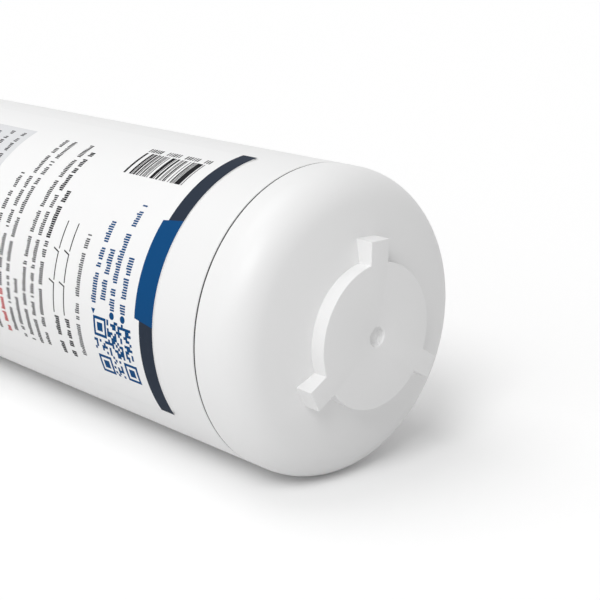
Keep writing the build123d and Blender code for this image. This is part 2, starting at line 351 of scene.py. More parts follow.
@dataclass(frozen=True)
class MouldedPlastic(Finish):
    """Moulded or extruded plastic with a fine grain and slow changes of tone and gloss."""

    roughness: float = 0.42
    cloud_size: float = 38 * MM
    cloud_spread: float = 0.1
    tone_spread: float = 0.02
    grain: Relief = Relief(0.7 * MM, 0.03 * MM, 0.5)
    grain_spread: float = 0.06
    layers: float = 2.0
    flow: Stretch = (1.0, 1.0, 1.0)

    def sockets(self, graph: MaterialGraph) -> Sockets:
        """Work out the plastic.

        Args:
            graph: The material's tree.

        Returns:
            What feeds the surface shader.
        """
        clouds = graph.noise(self.cloud_size, self.layers, self.flow)
        grain = graph.noise(self.grain.size, self.layers, self.flow)
        cloudy = graph.uneven(self.roughness, self.cloud_spread, clouds)
        return {
            "Base Color": graph.mottled(self.colour, self.tone_spread, clouds),
            "Roughness": graph.uneven(cloudy, self.grain_spread, grain),
            "Normal": graph.bump(grain, self.grain),
        }


@dataclass(frozen=True)
class PrintedSurface(Finish):
    """Ink or film of the label, with a slightly uneven coat."""

    roughness: float = 0.55
    roughness_spread: float = 0.12
    gloss: float = 0.03
    coat_size: float = 3.5 * MM
    layers: float = 4.0
    tone_spread: float = 0.06

    def sockets(self, graph: MaterialGraph) -> Sockets:
        """Work out the coat.

        Args:
            graph: The material's tree.

        Returns:
            What feeds the surface shader.
        """
        coat = graph.noise(self.coat_size, self.layers)
        return {
            "Base Color": graph.mottled(self.colour, self.tone_spread, coat),
            "Roughness": graph.uneven(self.roughness, self.roughness_spread, coat),
            "Specular IOR Level": self.gloss,
        }


@dataclass(frozen=True)
class SealRubber(Finish):
    """Black rubber with a dull bloom."""

    bloom: Colour
    bloom_size: float = 2.5 * MM
    bloom_layers: float = 5.0
    pores: Relief = Relief(0.35 * MM, 0.02 * MM, 0.4)
    pore_layers: float = 2.0
    roughness: float = 0.55
    roughness_spread: float = 0.2

    def sockets(self, graph: MaterialGraph) -> Sockets:
        """Work out the rubber.

        Args:
            graph: The material's tree.

        Returns:
            What feeds the surface shader.
        """
        bloom = graph.noise(self.bloom_size, self.bloom_layers)
        pores = graph.noise(self.pores.size, self.pore_layers)
        return {
            "Base Color": graph.blend(bloom, self.colour, self.bloom),
            "Roughness": graph.uneven(self.roughness, self.roughness_spread, bloom),
            "Normal": graph.bump(pores, self.pores),
        }


@dataclass(frozen=True)
class PressedCarbon(Finish):
    """Fine carbon grains pressed to a block."""

    glint: Colour
    grain: Relief = Relief(0.8 * MM, 0.25 * MM, 0.8)
    roughness: float = 0.95
    edge_gloss: float = 0.3

    def sockets(self, graph: MaterialGraph) -> Sockets:
        """Work out the grains.

        Args:
            graph: The material's tree.

        Returns:
            What feeds the surface shader.
        """
        grains = graph.cells(self.grain.size)
        return {
            "Base Color": graph.blend(grains, self.glint, self.colour),
            "Roughness": self.roughness - grains * self.edge_gloss,
            "Normal": graph.bump(1 - grains, self.grain),
        }


@dataclass(frozen=True)
class NonWoven(Finish):
    """Felt of fine fibres that mostly run round the block."""

    fibre: Relief = Relief(0.5 * MM, 0.3 * MM, 0.7)
    fibre_stretch: float = 9.0
    layers: float = 4.0
    round_share: float = 0.6
    tone_spread: float = 0.22
    roughness: float = 0.875
    roughness_spread: float = 0.15

    def sockets(self, graph: MaterialGraph) -> Sockets:
        """Work out the felt.

        Args:
            graph: The material's tree.

        Returns:
            What feeds the surface shader.
        """
        long = self.fibre_stretch
        around = graph.noise(self.fibre.size, self.layers, (1.0, long, long))
        crossing = graph.noise(self.fibre.size, self.layers, (long, 1.0, 1.0))
        felt = around * self.round_share + crossing * (1 - self.round_share)
        return {
            "Base Color": graph.mottled(self.colour, self.tone_spread, felt),
            "Roughness": graph.uneven(self.roughness, self.roughness_spread, felt),
            "Normal": graph.bump(felt, self.fibre),
        }


@dataclass(frozen=True)
class Finishes:
    """Every finish of the cartridge."""

    shell: Finish = MouldedPlastic("shell_plastic", grey(0.85))
    barrel: Finish = MouldedPlastic("barrel_plastic", grey(0.85), flow=(8.0, 1.0, 1.0))
    film: Finish = PrintedSurface(
        "label_white_film", grey(0.88), roughness=0.5, gloss=0.1, coat_size=9 * MM, tone_spread=0.015
    )
    # Painted shade: near-black plastic for the rings laid in the seam grooves, in place of the shade of the
    # narrow gaps.
    weld: Finish = MouldedPlastic("painted_seam_shade", (0.035, 0.035, 0.037, 1.0), roughness=0.7)
    seal: Finish = SealRubber("seal_rubber", (0.012, 0.012, 0.013, 1.0), bloom=(0.03, 0.03, 0.032, 1.0))
    element_cap: Finish = MouldedPlastic("element_cap_plastic", (0.62, 0.66, 0.7, 1.0), roughness=0.36)
    carbon: Finish = PressedCarbon(
        "pressed_carbon", (0.012, 0.012, 0.013, 1.0), glint=(0.05, 0.05, 0.052, 1.0)
    )
    wrap: Finish = NonWoven("non_woven_wrap", (0.8, 0.8, 0.77, 1.0))
    net: Finish = MouldedPlastic("net_plastic", (0.7, 0.73, 0.74, 1.0), roughness=0.3)

    @staticmethod
    def ink(ink: Ink) -> Finish:
        """The printed finish of one ink."""
        return PrintedSurface(f"ink_{ink.name.lower()}", linear_colour(ink.value))


def placed(name: str, data: bpy.types.ID) -> bpy.types.Object:
    """Put a new object into the scene, at the origin.

    Args:
        name: Name of the object.
        data: Its mesh, camera or lamp.

    Returns:
        The new object.
    """
    thing = bpy.data.objects.new(name, data)
    bpy.context.scene.collection.objects.link(thing)
    return thing


class Recipe(Graph):
    """A geometry node tree with named inputs that turns a base mesh into a finished one."""

    # A Random Value node repeats its socket names, so those for plain numbers go by number.
    RANDOM_LOWEST, RANDOM_HIGHEST, RANDOM_RESULT = 2, 3, 1

    def __init__(self, name: str) -> None:
        """Start a tree with a geometry input and output.

        Args:
            name: Name of the tree.
        """
        super().__init__(bpy.data.node_groups.new(name, "GeometryNodeTree"))
        for side in ("INPUT", "OUTPUT"):
            self.tree.interface.new_socket("Geometry", in_out=side, socket_type="NodeSocketGeometry")
        self.entry = self.node("NodeGroupInput")
        self.exit = self.node("NodeGroupOutput")
        self.ids: dict[str, str] = {}

    @property
    def base(self) -> Value:
        """The geometry that goes in."""
        return Value(self, self.entry.outputs["Geometry"])

    def size(self, name: str, kind: str = "NodeSocketFloat") -> Value:
        """Add a named input and take its value."""
        self.ids[name] = self.tree.interface.new_socket(name, in_out="INPUT", socket_type=kind).identifier
        return Value(self, self.entry.outputs[name])

    def close(self, geometry: Value) -> None:
        """Make instances real, give them the material input and end the tree.

        Args:
            geometry: The finished shape.
        """
        material = self.size("Material", "NodeSocketMaterial")
        real = self.value("GeometryNodeRealizeInstances", {}, {"Geometry": geometry})
        dressed = self.value("GeometryNodeSetMaterial", {}, {"Geometry": real, "Material": material})
        self.feed(self.exit.inputs["Geometry"], dressed)

    def random(self, lowest: Any, highest: Any, seed: Value, **more: Value) -> Value:
        """A random number between two limits for each point, or for all points with one ID."""
        inputs = {self.RANDOM_LOWEST: lowest, self.RANDOM_HIGHEST: highest, "Seed": seed, **more}
        return self.value("FunctionNodeRandomValue", {"data_type": "FLOAT"}, inputs, self.RANDOM_RESULT)

    def copies(self, points: Value, piece: Value, **more: Value) -> Value:
        """Copies of a piece on points, with further inputs such as their Scale."""
        inputs = {"Points": points, "Instance": piece, **more}
        return self.value("GeometryNodeInstanceOnPoints", {}, inputs)

    def vector(self, x: Any = 0.0, y: Any = 0.0, z: Any = 0.0) -> Value:
        """A vector of three values."""
        return self.value("ShaderNodeCombineXYZ", {}, {0: x, 1: y, 2: z})

    def wrapped(self, geometry: Value) -> Value:
        """Roll flat geometry onto a barrel.

        Args:
            geometry: The flat shape. Its X stays, its Y becomes arc length and its Z height over the barrel.

        Returns:
            The rolled shape.
        """
        radius = self.size("Barrel Radius")
        axis_height = self.size("Axis Height")
        place = self.node("ShaderNodeSeparateXYZ", {}, {0: self.value("GeometryNodeInputPosition")})
        along, arc_length, lift = (Value(self, socket) for socket in place.outputs)
        angle = arc_length / radius
        reach = radius + lift
        rolled = self.vector(along, reach * angle.sine(), axis_height + reach * angle.cosine())
        return self.value("GeometryNodeSetPosition", {}, {"Geometry": geometry, "Position": rolled})

    def run(self, base: bpy.types.Mesh, values: Mapping[str, Any]) -> bpy.types.Mesh:
        """Apply the tree to a base mesh.

        Args:
            base: The mesh that goes in.
            values: The tree's inputs by name.

        Returns:
            A plain mesh with the tree's result.
        """
        holder = placed(f"{base.name}_holder", base)
        modifier = holder.modifiers.new(self.tree.name, "NODES")
        modifier.node_group = self.tree
        for name, given in values.items():
            modifier[self.ids[name]] = given
        evaluated = holder.evaluated_get(bpy.context.evaluated_depsgraph_get())
        mesh = bpy.data.meshes.new_from_object(evaluated)
        holder.modifiers.clear()
        bpy.data.objects.remove(holder)
        return mesh


@cache
def wrap_recipe() -> Recipe:
    """Tree that rolls a flat plate onto the barrel.

    Returns:
        The finished tree.
    """
    recipe = Recipe("roll_plate_on_barrel")
    recipe.close(recipe.wrapped(recipe.base))
    return recipe


@cache
def block_rows_recipe() -> Recipe:
    """Tree that fills base lines with small printed blocks and rolls them onto the barrel.

    The blocks stand on their line towards -X. Each run of them has a gap at a place of its own, as the
    space between words is.

    Returns:
        The finished tree.
    """
    recipe = Recipe("printed_block_rows")
    pitch = recipe.size("Block Pitch")
    size_x = recipe.size("Block Size X")
    size_y = recipe.size("Block Size Y")
    thickness = recipe.size("Ink Thickness")
    shortest = recipe.size("Shortest Block")
    share = recipe.size("Filled Share")
    run = recipe.size("Run Length")
    cuts = recipe.size("Cuts", "NodeSocketInt")
    seed = recipe.size("Seed", "NodeSocketInt")
    half_gap = 1.0
    lines = recipe.value("GeometryNodeMeshToCurve", {}, {"Mesh": recipe.base})
    rows = recipe.value("GeometryNodeResampleCurve", {"mode": "LENGTH"}, {"Curve": lines, "Length": pitch})
    index = recipe.value("GeometryNodeInputIndex")
    group = (index / run).floor()
    gap = recipe.random(half_gap, run - 2 * half_gap, seed, ID=group)
    in_word = (index - group * run - gap).absolute() > half_gap
    kept = in_word * (recipe.random(0.0, 1.0, seed) < share)
    height = recipe.random(shortest, 1.0, seed) * size_x
    cube = recipe.value("GeometryNodeMeshCube", {}, {"Size": (1.0, 1.0, 1.0), "Vertices Y": cuts})
    block = recipe.value("GeometryNodeTransform", {}, {"Geometry": cube, "Translation": (-0.5, 0.0, 0.5)})
    scale = recipe.vector(height, size_y, thickness)
    blocks = recipe.copies(rows, block, Selection=kept, Scale=scale)
    real = recipe.value("GeometryNodeRealizeInstances", {}, {"Geometry": blocks})
    recipe.close(recipe.wrapped(real))
    return recipe


def radial_recipe() -> Recipe:
    """Tree that repeats a piece evenly round the cartridge axis.

    Returns:
        The finished tree.
    """
    recipe = Recipe("repeat_round_axis")
    count = recipe.size("Count", "NodeSocketInt")
    spot = recipe.vector(z=recipe.size("Axis Height"))
    points = recipe.value("GeometryNodePoints", {}, {"Count": count, "Position": spot})
    turn = recipe.value("GeometryNodeInputIndex") * math.tau / count
    recipe.close(recipe.copies(points, recipe.base, Rotation=recipe.vector(x=turn)))
    return recipe


def fuse_recipe() -> Recipe:
    """Tree that fuses overlapping closed skins into one.

    Returns:
        The finished tree.
    """
    recipe = Recipe("fuse_skins")
    settings = {"operation": "UNION", "solver": "EXACT"}
    skins = {"Mesh 2": recipe.base, "Self Intersection": True}
    recipe.close(recipe.value("GeometryNodeMeshBoolean", settings, skins))
    return recipe


def turned(x: float, y: float, angle: float) -> Point:
    """A point turned round the middle by an angle in radians."""
    return (x * math.cos(angle) - y * math.sin(angle), x * math.sin(angle) + y * math.cos(angle))


def arc(centre: Point, radius: float, start: float, end: float, steps: int) -> list[Point]:
    """Points on an arc.

    Args:
        centre: Middle of the arc.
        radius: Radius of the arc.
        start: First angle from the first axis, in radians.
        end: Last angle.
        steps: Number of chords.

    Returns:
        The points, with both ends.
    """
    angles = [start + (end - start) * i / steps for i in range(steps + 1)]
    return [(centre[0] + radius * math.cos(a), centre[1] + radius * math.sin(a)) for a in angles]


class MeshBuilder:
    """A mesh in the making, from turned sections, closed skins or loose edges."""

    def __init__(self, name: str) -> None:
        """Start an empty mesh of that name."""
        self.name = name
        self.draft = bmesh.new()

    def points(self, places: Iterable[Sequence[float]]) -> list[bmesh.types.BMVert]:
        """Add points in order."""
        return [self.draft.verts.new(place) for place in places]

    def add_lathe(self, section: Sequence[Point], axis_height: float) -> None:
        """Turn a closed section round the cartridge axis.

        Args:
            section: Points as distance along X and radius, in order. Points on the axis become poles.
            axis_height: Height of the cartridge axis.
        """
        turns = [math.tau * i / ROUND_STEPS for i in range(ROUND_STEPS)]
        rings = []
        for x, radius in section:
            spots = [(x, radius * math.sin(t), axis_height + radius * math.cos(t)) for t in turns]
            rings.append(self.points(spots if radius else spots[:1]))
        for first, second in zip(rings, rings[1:] + rings[:1]):
            for i in range(ROUND_STEPS):
                corners = [first[i % len(first)], first[(i + 1) % len(first)]]
                corners += [second[(i + 1) % len(second)], second[i % len(second)]]
                corners = list(dict.fromkeys(corners))
                if len(corners) > 2:
                    self.draft.faces.new(corners)

    def add_skin(self, loops: Iterable[Iterable[Sequence[float]]], has_hole: bool = False) -> None:
        """Join loops of as many points each into a closed skin.

        Args:
            loops: The loops in order.
            has_hole: Whether the last loop meets the first one. If not, both are filled.
        """
        rings = [self.points(loop) for loop in loops]
        if has_hole:
            rings.append(rings[0])
        else:
            self.draft.faces.new(rings[0])
            self.draft.faces.new(rings[-1])
        for first, second in zip(rings, rings[1:]):
            for i in range(len(first)):
                j = (i + 1) % len(first)
                self.draft.faces.new((first[i], first[j], second[j], second[i]))

    def cut_across(self, distance: float) -> None:
        """Cut flat plates across Y, so that they can be rolled up.

        Args:
            distance: Distance between the cuts.
        """
        places = [vertex.co.y / distance for vertex in self.draft.verts]
        for i in range(math.ceil(min(places)), math.floor(max(places)) + 1):
            everything = [*self.draft.verts, *self.draft.edges, *self.draft.faces]
            plane = {"plane_co": (0.0, i * distance, 0.0), "plane_no": (0.0, 1.0, 0.0)}
            bmesh.ops.bisect_plane(self.draft, geom=everything, dist=SAME_PLACE, **plane)

    def mesh(self) -> bpy.types.Mesh:
        """Turn the faces outwards and end the work.

        Returns:
            The finished mesh.
        """
        bmesh.ops.recalc_face_normals(self.draft, faces=self.draft.faces)
        mesh = bpy.data.meshes.new(self.name)
        self.draft.to_mesh(mesh)
        self.draft.free()
        return mesh


def add_piece(
    name: str,
    mesh: bpy.types.Mesh,
    material: bpy.types.Material,
    replaces: Sequence[str] = (),
) -> None:
    """Put a finished mesh on the cartridge.

    Args:
        name: Name of the piece.
        mesh: Its mesh, already in place.
        material: Its finish.
        replaces: Solids that the piece stands for.
    """
    mesh.materials.clear()
    mesh.materials.append(material)
    mesh.shade_smooth()
    mesh.set_sharp_from_angle(angle=SMOOTH_ANGLE)
    piece = placed(name, mesh)
    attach(piece, ROOT)
    if replaces:
        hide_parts(*replaces)
    LOG.info("piece %s: %d faces", name, len(mesh.polygons))


@dataclass
class Barrel:
    """Place and size of the barrel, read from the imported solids."""

    radius: float
    axis_height: float
    pad_seam: float
    neck_seam: float

    @classmethod
    def from_frame(cls) -> "Barrel":
        """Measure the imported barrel."""
        low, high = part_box("barrel")
        return cls((high.z - low.z) / 2, (high.z + low.z) / 2, high.x, low.x)


@dataclass
class DriveCap:
    """The domed end cap with its lugged drive pad outside and its ribs inside.

    Distances along the axis are from the seam towards the pad.
    """

    barrel: Barrel
    finish: Finish
    seam_gap: float = 0.37 * MM
    seam_bevel: float = 0.25 * MM
    skirt: float = 5.0 * MM
    knuckle: float = 11.0 * MM
    crown: float = 126.0 * MM
    wall: float = 3.6 * MM
    tongue_length: float = 7.0 * MM
    tongue_outer: float = 37.9 * MM
    tongue_inner: float = 35.7 * MM
    inner_slope: float = 5.0 * MM
    pad_radius: float = 19.0 * MM
    pad_rise: float = 2.7 * MM
    pad_root: float = 0.5 * MM
    pad_rounding: float = 0.2 * MM
    pad_steps: int = 54
    lug_count: int = 3
    lug_start: float = 88.5
    lug_width: float = 6.2 * MM
    lug_reach: float = 24.8 * MM
    dimple_radius: float = 2.5 * MM
    dimple_depth: float = 1.6 * MM
    dimple_rounding: float = 0.4 * MM
    rib_count: int = 6
    rib_thickness: float = 2.4 * MM
    rib_inner: float = 6.0 * MM
    rib_step: float = 33.6 * MM
    rib_seat: float = 4.0 * MM
    rib_locator: float = 3.0 * MM
    arc_steps: int = 18
    rounding_steps: int = 4

    def crown_centre(self) -> float:
        """Distance of the crown's centre, so that crown and knuckle meet tangentially."""
        slant = self.crown - self.knuckle
        return self.skirt - math.sqrt(slant**2 - (self.barrel.radius - self.knuckle) ** 2)

    def crown_height(self, radius: float, inset: float = 0.0) -> float:
        """Distance of the crown at a radius, or of a face that lies inside it by an inset."""
        return self.crown_centre() + math.sqrt((self.crown - inset) ** 2 - radius**2)

    def shell_section(self) -> list[Point]:
        """Section of the domed shell and its welding tongue.

        Returns:
            Its points as X and radius.
        """
        radius = self.barrel.radius
        meeting = math.asin((radius - self.knuckle) / (self.crown - self.knuckle))
        knuckle_centre = (self.skirt, radius - self.knuckle)
        crown_centre = (self.crown_centre(), 0.0)
        inner_edge = self.tongue_inner - self.inner_slope
        inner_meeting = math.asin(inner_edge / (self.crown - self.wall))
        knuckle = arc(knuckle_centre, self.knuckle, QUARTER, meeting, self.arc_steps)
        crown = arc(crown_centre, self.crown, meeting, 0.0, self.arc_steps)
        inside = arc(crown_centre, self.crown - self.wall, 0.0, inner_meeting, self.arc_steps)
        section = [
            (self.seam_gap, radius - self.seam_bevel),
            (self.seam_gap + self.seam_bevel, radius),
            *knuckle[:-1],
            *crown[:-1],
            (crown[-1][0], 0.0),
            (inside[0][0], 0.0),
            *inside[1:],
            (inside[-1][0] - self.inner_slope, self.tongue_inner),
            (-self.tongue_length, self.tongue_inner),
            (-self.tongue_length, self.tongue_outer),
            (self.seam_gap, self.tongue_outer),
        ]
        return [(self.barrel.pad_seam + x, r) for x, r in section]

    def pad_outline(self, inset: float) -> list[Point]:
        """Outline of the lugged pad.

        Args:
            inset: How far the outline is drawn in.

        Returns:
            Its points as sideways and upward distances from the axis.
        """
        radius = self.pad_radius - inset
        half_width = self.lug_width / 2 - inset
        reach = self.lug_reach - inset
        shoulder = math.asin(half_width / radius)
        step = math.tau / self.lug_count
        points: list[Point] = []
        for i in range(self.lug_count):
            lug = math.radians(self.lug_start) + i * step
            points += [turned(reach, -half_width, lug), turned(reach, half_width, lug)]
            points += arc((0.0, 0.0), radius, lug + shoulder, lug + step - shoulder, self.pad_steps)
        return points

    def pad_loops(self) -> list[list[Vector]]:
        """Loops of the pad from its root, over its rounded edge and face, into the dimple.

        Returns:
            The loops in order, with as many points each.
        """
        face = self.crown_height(0.0) + self.pad_rise
        root = self.crown_height(self.lug_reach) - self.pad_root
        turns = [QUARTER * i / self.rounding_steps for i in range(self.rounding_steps + 1)]
        loops = [self._at(root, self.pad_outline(0.0))]
        for turn in turns:
            depth = self.pad_rounding * (1 - math.sin(turn))
            inset = self.pad_rounding * (1 - math.cos(turn))
            loops.append(self._at(face - depth, self.pad_outline(inset)))
        rounding = self.dimple_rounding
        rim = self.dimple_radius + rounding
        hollow = [(rounding * (1 - math.cos(t)), rim - rounding * math.sin(t)) for t in turns]
        hollow.append((self.dimple_depth - rounding, self.dimple_radius))
        hollow.append((self.dimple_depth, self.dimple_radius - rounding))
        bearings = [math.atan2(up, side) for side, up in self.pad_outline(self.pad_rounding)]
        for depth, radius in hollow:
            loops.append(self._at(face - depth, [turned(radius, 0.0, bearing) for bearing in bearings]))
        return loops

    def _at(self, distance: float, outline: Sequence[Point]) -> list[Vector]:
        """Stand a flat outline across the axis at a distance from the seam."""
        x = self.barrel.pad_seam + distance
        return [Vector((x, side, self.barrel.axis_height + up)) for side, up in outline]

    def rib(self) -> bpy.types.Mesh:
        """One stepped rib that stands up from the axis.

        Returns:
            The rib, with the axis at the height of zero.
        """
        inset = self.wall / 2
        outer = (self.tongue_inner + self.tongue_outer) / 2
        profile = [
            (self.crown_height(outer, self.wall), outer),
            (self.rib_seat - self.rib_locator, outer),
            (self.rib_seat - self.rib_locator, self.rib_step),
            (self.rib_seat, self.rib_step),
            (self.rib_seat, self.rib_inner),
            (self.crown_height(self.rib_inner, inset), self.rib_inner),
            (self.crown_height(outer / 2, inset), outer / 2),
        ]
        seam = self.barrel.pad_seam
        sides = (-self.rib_thickness / 2, self.rib_thickness / 2)
        builder = MeshBuilder("rib")
        builder.add_skin([(seam + x, y, r) for x, r in profile] for y in sides)
        return builder.mesh()

    def build(self) -> None:
        """Make the cap and put it in the place of its solid."""
        material = self.finish.material()
        height = self.barrel.axis_height
        sizes = {"Count": self.rib_count, "Axis Height": height, "Material": material}
        ribs = radial_recipe().run(self.rib(), sizes)
        builder = MeshBuilder("drive_end_cap")
        builder.add_lathe(self.shell_section(), height)
        builder.add_skin(self.pad_loops())
        builder.draft.from_mesh(ribs)
        whole = fuse_recipe().run(builder.mesh(), {"Material": material})
        add_piece("drive_end_cap", whole, material, ["bottom_cap"])


@dataclass
class SeamShadeLines:
    """Painted shade: fine near-black rings laid in the grooves of the two welded seams, where their narrow
    gaps fall into shade.
    """

    barrel: Barrel
    finish: Finish
    drive_gap: float
    neck_gap: float = 0.26 * MM
    below_surface: float = 0.12 * MM
    height: float = 0.25 * MM

    def section(self, start: float, end: float) -> list[Point]:
        """Section of one line between two places along the axis."""
        top = self.barrel.radius - self.below_surface
        return [(start, top - self.height), (start, top), (end, top), (end, top - self.height)]

    def build(self) -> None:
        """Make both lines."""
        material = self.finish.material()
        drive_end = self.barrel.pad_seam
        neck_end = self.barrel.neck_seam
        # Painted shade: one near-black ring over the gap of each seam.
        spans = {
            "drive_end_seam_shade": (drive_end, drive_end + self.drive_gap),
            "neck_end_seam_shade": (neck_end - self.neck_gap / 2, neck_end + self.neck_gap / 2),
        }
        for name, span in spans.items():
            builder = MeshBuilder(name)
            builder.add_lathe(self.section(*span), self.barrel.axis_height)
            add_piece(name, builder.mesh(), material)


@dataclass(frozen=True)
class Area:
    """A rectangle on the label, between two distances from its edge and two angles from the top."""

    near: float
    far: float
    start: float
    end: float


@dataclass(frozen=True)
class Blocks:
    """Sizes of the small blocks in a printed row, named as the inputs of the row recipe are."""

    block_pitch: float
    block_size_x: float
    block_size_y: float
    seed: int
    shortest_block: float = 1.0
    filled_share: float = 0.5
    run_length: float = UNBROKEN_RUN
    cuts: int = 2

    def inputs(self) -> dict[str, float]:
        """The recipe's inputs by name."""
        return {key.replace("_", " ").title(): size for key, size in asdict(self).items()}


@dataclass(frozen=True)
class Rows:
    """Rows of printed blocks that stand for lines of small print.

    Each line has its distance, its first angle and its last angle. Lengths are in millimetres.
    """

    ink: Ink
    lines: Lines
    height: float
    pitch: float
    seed: int
    weight: float = 0.62
    run: float = 16.0
    shortest: float = 0.66
    filled: float = 0.94

    def blocks(self) -> Blocks:
        """Sizes of the blocks, in metres.

        Returns:
            The inputs of the row recipe.
        """
        return Blocks(
            block_pitch=self.pitch * MM,
            block_size_x=self.height * MM,
            block_size_y=self.pitch * self.weight * MM,
            seed=self.seed,
            shortest_block=self.shortest,
            filled_share=self.filled,
            run_length=self.run,
        )


@dataclass
class Label:
    """The printed film on the barrel.

    Distances are from its edge at the drive pad towards the neck. Angles are from the top of the barrel
    towards the label's side, in degrees.
    """

    barrel: Barrel
    finish: Finish
    edge: float = 15.6 * MM
    start: float = 7.5
    end: float = 122.5
    film_height: float = 0.3 * MM
    ink_height: float = 0.02 * MM
    corner: float = 1.5 * MM
    corner_steps: int = 6
    cut_angle: float = 1.5
    stripe_width: float = 5.4 * MM
    panel: Area = Area(0.0, 7.3 * MM, 47.0, 86.5)
    panel_slant: float = 1.5
    table: Area = Area(87.0 * MM, 148.0 * MM, 21.0, 66.0)
    rule_distances: tuple[float, ...] = (38.2 * MM, 43.0 * MM)
    rule_spans: tuple[tuple[float, float], ...] = ((58.0, 69.0), (70.5, 81.0), (82.5, 93.5))
    rule_width: float = 0.4 * MM
    slash_height: float = 2.6 * MM
    slash_lean: float = 1 / 6
    mark_corners: tuple[tuple[float, int], ...] = ((11.3 * MM, 20), (15.9 * MM, 20), (23.9 * MM, 3))
    mark_size: float = 2.0 * MM
    mark_angle: float = 87.2
    bars: Area = Area(9.6 * MM, 34.7 * MM, 20.0, 33.0)
    bar_module: float = 0.265 * MM
    bar_cuts: int = 10
    bar_seed: int = 29
    bar_row_angle: float = 18.0
    bar_row: Blocks = Blocks(
        0.95 * MM, 0.589 * MM, 1.7 * MM, seed=31, shortest_block=0.6, filled_share=1.0, run_length=9.0
    )
    patch_near: float = 8.6 * MM
    patch_start: float = 89.0
    patch_cells: int = 21
    patch_cell: float = 0.78 * MM
    patch_fill: float = 0.98
    patch_seed: int = 41
    patch_frame: int = 7
    patch_inset: int = 2
    leading_lines: Lines = ((11.3, 65, 85), (15.9, 45, 85), (19.8, 64, 82), (23.9, 54, 84))
    note_lines: Lines = ((31.3, 61, 110),)
    bold_lines: Lines = ((36.4, 95, 110), (41.2, 95, 110), (48.6, 47, 66), (52.7, 27, 47))
    upper_lines: Lines = ((48.6, 68, 110), (52.7, 49, 110), (56.7, 23, 110), (60.9, 86, 110))
    lower_lines: Lines = ((64.9, 23, 110), (68.9, 23, 90), (73.7, 44, 110), (77.9, 66, 110))
    red_lines: Lines = ((68.9, 92, 110),)
    table_lines: Lines = tuple((distance, 24, 62) for distance in range(90, 146, 6))

    @property
    def near_x(self) -> float:
        """X of the edge at the drive pad."""
        return self.barrel.pad_seam - self.edge

    @property
    def far_x(self) -> float:
        """X of the edge at the neck."""
        return self.barrel.neck_seam + self.edge

    def degrees(self, length: float) -> float:
        """Angle of a length round the barrel."""
        return math.degrees(length / self.barrel.radius)

    def spot(self, distance: float, angle: float) -> Point:
        """Flat place of a printed point."""
        return (self.near_x - distance, -self.barrel.radius * math.radians(angle))

    def corners(self, area: Area, slant: float = 0.0) -> list[Point]:
        """Corners of a printed area.

        Args:
            area: The area.
            slant: Angle by which its far corners are drawn in.

        Returns:
            Its four corners on the flat label.
        """
        return [
            self.spot(area.near, area.start),
            self.spot(area.far, area.start + slant),
            self.spot(area.far, area.end - slant),
            self.spot(area.near, area.end),
        ]

    def film_outline(self) -> list[Point]:
        """Outline of the film with its rounded corners.

        Returns:
            Its points on the flat label.
        """
        near = self.near_x - self.corner
        far = self.far_x + self.corner
        top = self.spot(0.0, self.start)[1] - self.corner
        bottom = self.spot(0.0, self.end)[1] + self.corner
        outline: list[Point] = []
        for number, centre in enumerate(((near, top), (far, top), (far, bottom), (near, bottom))):
            turn = number * QUARTER
            outline += arc(centre, self.corner, turn, turn + QUARTER, self.corner_steps)
        return outline

    def add_plates(
        self,
        name: str,
        shapes: Iterable[Shape],
        finish: Finish,
        heights: Point,
        replaces: Sequence[str] = (),
    ) -> None:
        """Add thin plates that lie round the barrel.

        Args:
            name: Name of the piece.
            shapes: Outline of each plate on the flat label, and then that of its hole if it has one.
            finish: Its finish.
            heights: Heights of its underside and top over the barrel.
            replaces: Solids that the piece stands for.
        """
        material = finish.material()
        low, high = heights
        builder = MeshBuilder(name)
        for outline, *holes in shapes:
            walls = [(outline, low), (outline, high)]
            for hole in holes:
                walls += [(hole, high), (hole, low)]
            loops = [[(x, y, height) for x, y in edge] for edge, height in walls]
            builder.add_skin(loops, has_hole=bool(holes))
        builder.cut_across(self.barrel.radius * math.radians(self.cut_angle))
        values = {"Barrel Radius": self.barrel.radius, "Axis Height": self.barrel.axis_height}
        rolled = wrap_recipe().run(builder.mesh(), {**values, "Material": material})
        add_piece(name, rolled, material, replaces)

    def add_print(self, name: str, shapes: Iterable[Shape], ink: Ink, layer: int = 1) -> None:
        """Print solid shapes in one ink, in a layer that counts up from the film at 1."""
        low = self.film_height + (layer - 1) * self.ink_height
        self.add_plates(name, shapes, Finishes.ink(ink), (low, low + self.ink_height))

    def add_blocks(self, name: str, lines: Iterable[tuple[Point, Point]], ink: Ink, blocks: Blocks) -> None:
        """Print rows of small blocks along base lines.

        Args:
            name: Name of the piece.
            lines: Start and end of each row on the flat label.
            ink: Its colour.
            blocks: Sizes of the blocks.
        """
        material = Finishes.ink(ink).material()
        radius = self.barrel.radius + self.film_height + self.ink_height
        stretch = radius / self.barrel.radius
        builder = MeshBuilder(name)
        for ends in lines:
            builder.draft.edges.new(builder.points((x, y * stretch, 0.0) for x, y in ends))
        values = {
            "Barrel Radius": radius,
            "Axis Height": self.barrel.axis_height,
            "Ink Thickness": self.ink_height,
            "Material": material,
            **blocks.inputs(),
        }
        mesh = block_rows_recipe().run(builder.mesh(), values)
        add_piece(name, mesh, material)

    def print_fields(self) -> None:
        """Print the stripe, its panel, the table field and the date rules."""
        stripe = Area(0.0, self.stripe_width, self.start, self.end)
        rules = [
            [self.corners(Area(distance, distance + self.rule_width, *span))]
            for distance in self.rule_distances
            for span in self.rule_spans
        ]
        self.add_print("label_stripe", [[self.corners(stripe)]], Ink.NAVY)
        self.add_print("label_panel", [[self.corners(self.panel, self.panel_slant)]], Ink.BLUE, layer=2)
        self.add_print("label_table", [[self.corners(self.table)]], Ink.PALE)
        self.add_print("label_rules", rules, Ink.BLACK)

